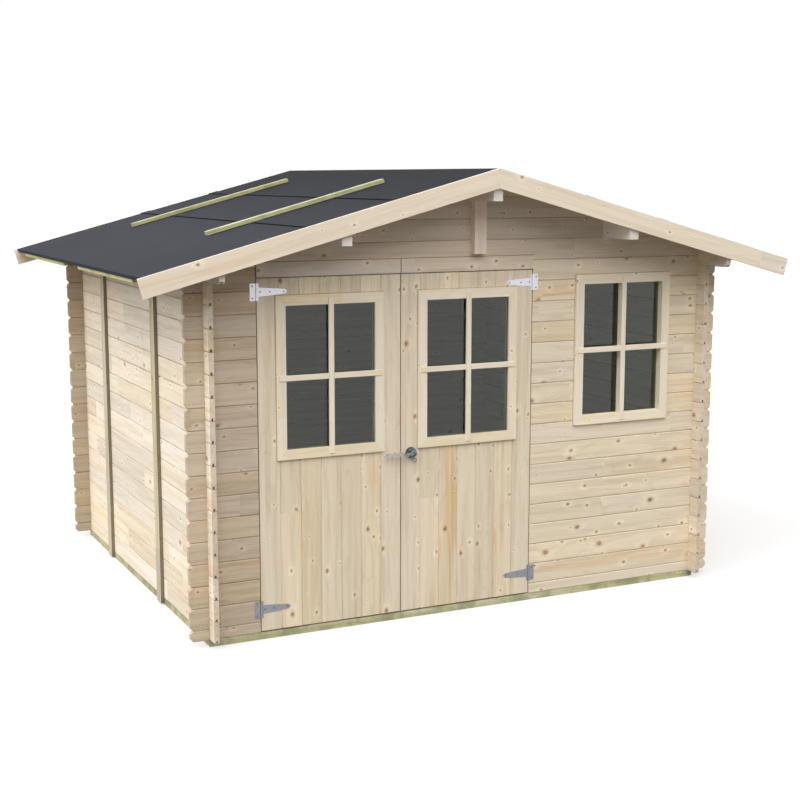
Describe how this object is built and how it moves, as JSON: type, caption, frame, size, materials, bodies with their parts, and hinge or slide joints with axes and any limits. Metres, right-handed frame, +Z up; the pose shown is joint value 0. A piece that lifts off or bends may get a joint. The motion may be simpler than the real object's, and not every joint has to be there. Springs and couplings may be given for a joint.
{
  "type": "garden shed",
  "caption": "Log-built garden shed with a shallow felted gable roof, glazed double doors that open outward, and a fixed window beside them.",
  "frame": {"origin": "on the ground, under the ridge, halfway along the roof: bottom centre of the bounding box", "axes": "+X to the right along the front wall, +Y to the back along the ridge, +Z up"},
  "size_m": [3.81, 2.955, 2.4069],
  "materials": {
    "log_pine": "planed, clear finish",
    "barge_pine": "planed, clear finish",
    "roof_pine": "rough sawn",
    "treated_pine": "pressure treated, sawn",
    "door_pine": "planed, clear finish",
    "roof_felt": "mineral felt, matt",
    "window_glass": "clear",
    "galvanised_steel": "galvanised",
    "handle_steel": "satin"
  },
  "bodies": {
    "shed": {"base_rails": "treated_pine", "left_wall_logs": "log_pine", "right_wall_logs": "log_pine", "back_wall_logs": "log_pine", "front_left_logs": "log_pine", "front_right_logs": "log_pine", "front_gable_logs": "log_pine", "ridge_purlin": "roof_pine", "left_purlin": "roof_pine", "right_purlin": "roof_pine", "left_roof_deck": "roof_pine", "right_roof_deck": "roof_pine", "left_felt_eave": "roof_felt", "right_felt_eave": "roof_felt", "left_felt_middle": "roof_felt", "right_felt_middle": "roof_felt", "felt_ridge": "roof_felt", "felt_battens": "treated_pine", "front_left_barge": "barge_pine", "front_right_barge": "barge_pine", "back_left_barge": "barge_pine", "back_right_barge": "barge_pine", "eave_battens": "treated_pine", "storm_braces": "log_pine", "ridge_blocks": "barge_pine", "window_trim": "door_pine", "window_frame": "door_pine", "window_glass": "window_glass", "door_header_boards": "door_pine", "door_posts": "roof_pine", "hinge_plates": "galvanised_steel"},
    "left_leaf": {"left_leaf_boards": "door_pine", "left_leaf_ledges": "door_pine", "left_leaf_trim": "door_pine", "left_leaf_glass": "window_glass", "left_hinge_straps": "galvanised_steel"},
    "right_leaf": {"right_leaf_boards": "door_pine", "right_leaf_ledges": "door_pine", "right_leaf_trim": "door_pine", "right_leaf_glass": "window_glass", "right_hinge_straps": "galvanised_steel", "lock_rose": "handle_steel"},
    "lever": {"lever_handle": "handle_steel"}
  },
  "joints": [
    {"name": "right_leaf_hinge", "type": "hinge", "parent": "shed", "child": "right_leaf", "pos_m": [0.3695, -1.201, 0.9785], "axis": [0, 0, 1], "range_deg": [0, 120]},
    {"name": "left_leaf_hinge", "type": "hinge", "parent": "shed", "child": "left_leaf", "pos_m": [-1.2295, -1.201, 0.9785], "axis": [0, 0, -1], "range_deg": [0, 120]},
    {"name": "lever_turn", "type": "hinge", "parent": "right_leaf", "child": "lever", "pos_m": [-0.3705, -1.1965, 0.912], "axis": [0, -1, 0], "range_deg": [0, 40], "stiffness_Nm_per_rad": 0.5, "springref_deg": -34.38}
  ],
  "couplings": [
    {"joint": "left_leaf_hinge", "follows": "right_leaf_hinge", "ratio": 1}
  ]
}
